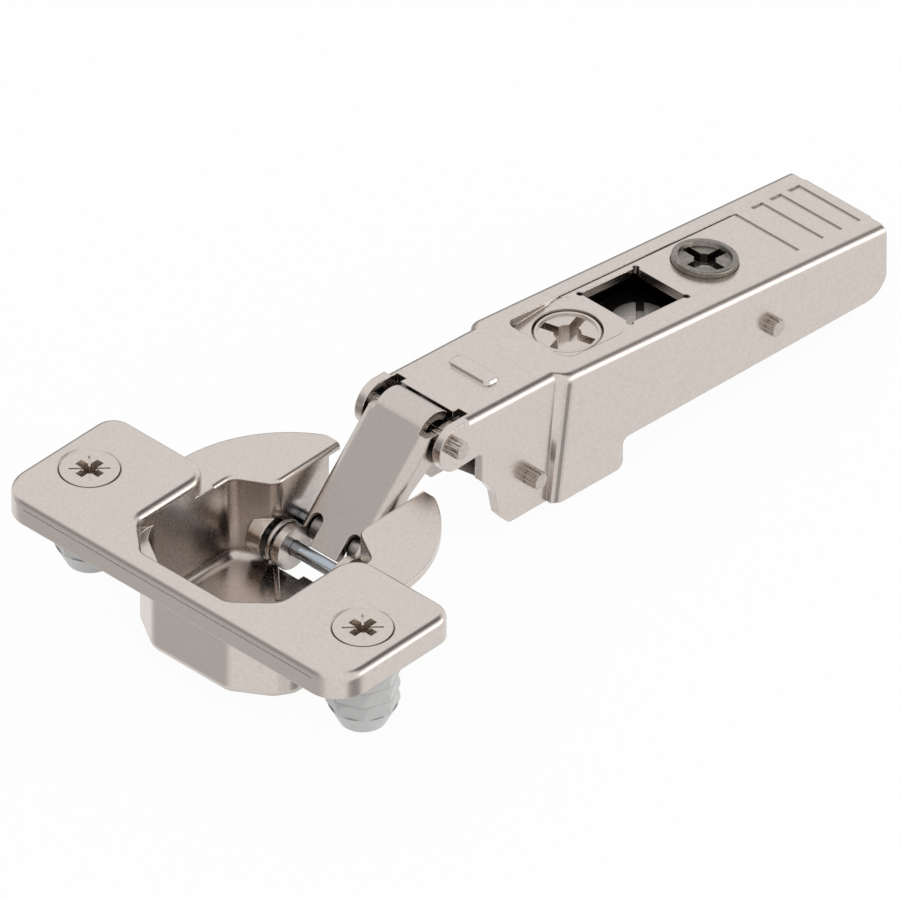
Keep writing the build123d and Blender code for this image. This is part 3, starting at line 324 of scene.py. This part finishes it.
glow = addNode(tree, "ShaderNodeEmission", None, {"Color": white, "Strength": 1.0}).outputs["Emission"]
mixed = addNode(tree, "ShaderNodeMixShader", None, {0: share, 1: matte, 2: glow}).outputs["Shader"]
addNode(tree, "ShaderNodeOutputMaterial", None, {"Surface": mixed})
floorMesh.materials.append(floorPaint)

# Black cards round the white room, as a product photographer sets them, that draw the folds of bright metal:
# where each one stands, how wide it is in degrees from its middle to its faded edge, and what light is left
cards = {
    "overhead": {"at": (0.576, -0.251, 0.778), "inner": 11.0, "outer": 29.0, "level": 0.15},
    "frontLow": {"at": (0.09, -0.79, -0.606), "inner": 5.0, "outer": 24.0, "level": 0.35},
    "farSide": {"at": (0.576, 0.80, -0.17), "inner": 10.0, "outer": 27.0, "level": 0.30},
    "doorSide": {"at": (-0.79, 0.55, -0.25), "inner": 24.0, "outer": 50.0, "level": 0.60},
    "linkSide": {"at": (-0.80, 0.50, 0.33), "inner": 12.0, "outer": 28.0, "level": 0.56},
}

world = bpy.data.worlds.new("studio")
scene.world = world
world.use_nodes = True
tree = world.node_tree
tree.nodes.clear()
direction = addNode(tree, "ShaderNodeTexCoord").outputs["Generated"]
level = studio["skyLevel"]
for card in cards.values():
    towards = addNode(tree, "ShaderNodeVectorMath", {"operation": "DOT_PRODUCT"}, {
        0: direction, 1: Vector(card["at"]).normalized()}).outputs["Value"]
    light = addNode(tree, "ShaderNodeMapRange", {"interpolation_type": "SMOOTHSTEP"}, {
        "Value": towards, "From Min": math.cos(math.radians(card["outer"])),
        "From Max": math.cos(math.radians(card["inner"])),
        "To Min": 1.0, "To Max": card["level"]}).outputs["Result"]
    level = addNode(tree, "ShaderNodeMath", {"operation": "MULTIPLY"}, {0: light, 1: level}).outputs[0]
rays = addNode(tree, "ShaderNodeLightPath")
strength = addNode(tree, "ShaderNodeMix", {"data_type": "FLOAT"}, {
    "Factor": rays.outputs["Is Camera Ray"], 2: level, 3: 1.0}).outputs[0]
sky = addNode(tree, "ShaderNodeBackground", None, {"Color": white, "Strength": strength})
addNode(tree, "ShaderNodeOutputWorld", None, {"Surface": sky.outputs["Background"]})

# Fold light: one wide lamp low at the front, which runs as a bright line along the folds
foldLight = {"from": (0.58, -0.79, 0.15), "distance": 0.6, "aim": (0.03, 0.0, 0.0),
             "size": (0.5, 0.26), "energy": 0.60, "colour": "fffaf4"}
lamp = bpy.data.lights.new("foldLight", "AREA")
lamp.shape = "RECTANGLE"
lamp.size, lamp.size_y = foldLight["size"]
lamp.energy = foldLight["energy"]
lamp.color = hexToLinear(foldLight["colour"])[:3]
softbox = bpy.data.objects.new("foldLight", lamp)
towardsLamp = Vector(foldLight["from"])
softbox.location = Vector(foldLight["aim"]) + towardsLamp.normalized() * foldLight["distance"]
softbox.rotation_mode = "QUATERNION"
softbox.rotation_quaternion = (-towardsLamp).to_track_quat("-Z", "Y")
scene.collection.objects.link(softbox)

# Camera: the photograph is a parallel view, so the lens is as long as the other views allow.
# width is what the frame takes in at the aim, and near and far are shares of the distance
cameraLook = {"azimuth": -46.404, "elevation": 37.324, "lens": 1700.0, "sensor": 36.0,
              "width": 107.45 * mm, "aim": (29.11 * mm, 0.0, -3.24 * mm), "near": 0.01, "far": 4.0}
azimuth = math.radians(cameraLook["azimuth"])
elevation = math.radians(cameraLook["elevation"])
back = Vector((math.sin(azimuth) * math.cos(elevation), -math.cos(azimuth) * math.cos(elevation),
               math.sin(elevation)))
distance = cameraLook["width"] * cameraLook["lens"] / cameraLook["sensor"]
cameraData = bpy.data.cameras.new("camera")
cameraData.lens = cameraLook["lens"]
cameraData.sensor_width = cameraLook["sensor"]
cameraData.clip_start = distance * cameraLook["near"]
cameraData.clip_end = distance * cameraLook["far"]
camera = bpy.data.objects.new("camera", cameraData)
camera.location = Vector(cameraLook["aim"]) + back * distance
camera.rotation_mode = "QUATERNION"
camera.rotation_quaternion = (-back).to_track_quat("-Z", "Y")
scene.collection.objects.link(camera)
scene.camera = camera
print("studio ready")
